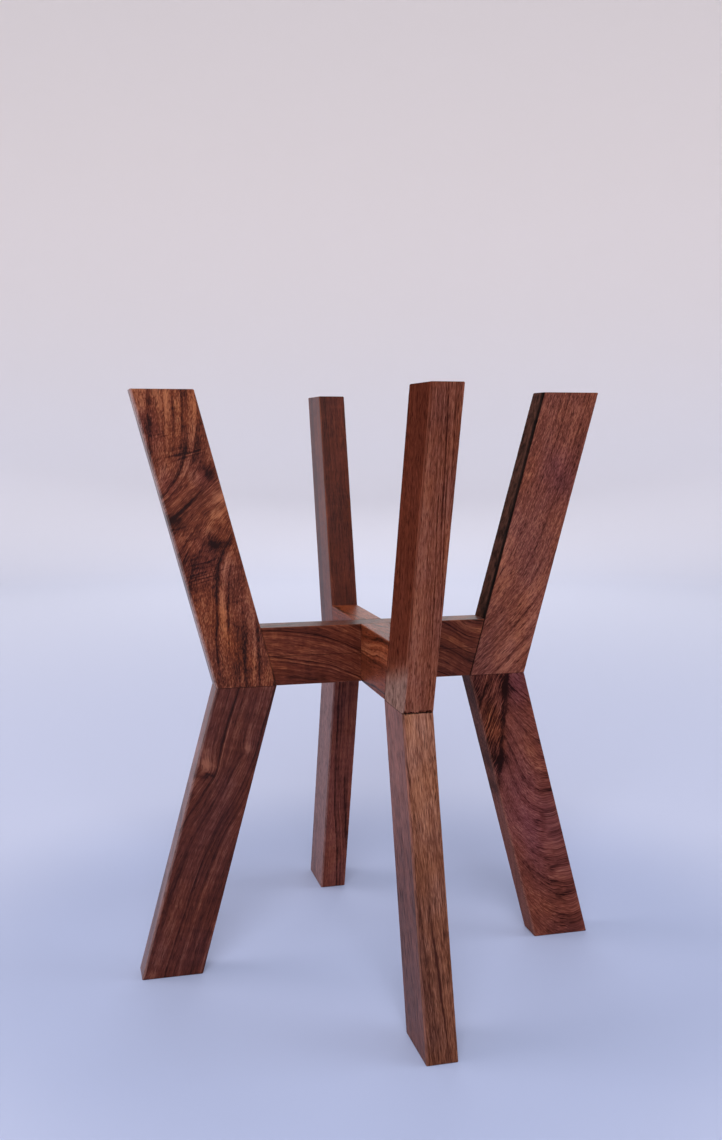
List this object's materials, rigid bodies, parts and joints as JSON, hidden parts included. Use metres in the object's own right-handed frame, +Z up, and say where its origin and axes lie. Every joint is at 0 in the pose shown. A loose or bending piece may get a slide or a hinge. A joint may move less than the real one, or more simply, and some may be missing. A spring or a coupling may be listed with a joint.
{
  "type": "plant stand",
  "caption": "Wooden plant stand: splayed legs mitred at half height to upper boards that cradle a tapered pot on crossed rails.",
  "frame": {"origin": "on the floor, under the middle of the cross that the rails make", "axes": "+Z up, the front leg towards -Y, the left leg towards -X"},
  "size_m": [0.3756, 0.3756, 0.457],
  "materials": {
    "walnut_red": "oiled, satin",
    "walnut_dark": "oiled, satin",
    "walnut_figured": "oiled, satin",
    "walnut_light": "oiled, satin",
    "beech_dowel": "bare, fluted"
  },
  "bodies": {
    "root": {"lower_leg_right": "walnut_dark", "lower_leg_back": "walnut_dark", "lower_leg_left": "walnut_dark", "lower_leg_front": "walnut_light", "upper_leg_right": "walnut_red", "upper_leg_back": "walnut_red", "upper_leg_left": "walnut_figured", "upper_leg_front": "walnut_red", "cross_rail_left_right": "walnut_red", "cross_rail_front_back": "walnut_red", "seam_dowel_right_outer": "beech_dowel", "seam_dowel_right_inner": "beech_dowel", "seam_dowel_back_outer": "beech_dowel", "seam_dowel_back_inner": "beech_dowel", "seam_dowel_left_outer": "beech_dowel", "seam_dowel_left_inner": "beech_dowel", "seam_dowel_front_outer": "beech_dowel", "seam_dowel_front_inner": "beech_dowel", "rail_dowel_right_lower": "beech_dowel", "rail_dowel_right_upper": "beech_dowel", "rail_dowel_back_lower": "beech_dowel", "rail_dowel_back_upper": "beech_dowel", "rail_dowel_left_lower": "beech_dowel", "rail_dowel_left_upper": "beech_dowel", "rail_dowel_front_lower": "beech_dowel", "rail_dowel_front_upper": "beech_dowel"}
  },
  "joints": []
}
